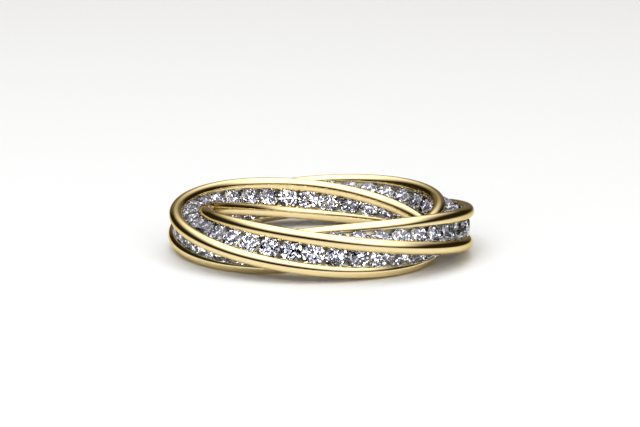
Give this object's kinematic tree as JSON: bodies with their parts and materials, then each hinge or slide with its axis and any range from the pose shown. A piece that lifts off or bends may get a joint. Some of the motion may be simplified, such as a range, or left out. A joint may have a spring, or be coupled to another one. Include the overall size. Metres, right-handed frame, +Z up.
{
  "type": "twist ring",
  "caption": "Finger ring with a twisted square band: round rails run along its corners, and every face is a channel that holds a row of round brilliant stones.",
  "frame": {"origin": "on the finger's axis, in the surface that the ring lies on, under its lowest rails", "axes": "+Z up along the finger's axis, +Y from the front of the ring as pictured to its back, +X to the right"},
  "size_m": [0.0254, 0.0252, 0.0045],
  "materials": {
    "gold": "polished yellow gold",
    "diamond": "cut and polished, clear"
  },
  "bodies": {
    "root": {"band": "gold", "stone_row_1": "diamond", "stone_row_2": "diamond", "stone_row_3": "diamond", "stone_row_4": "diamond"}
  },
  "joints": []
}
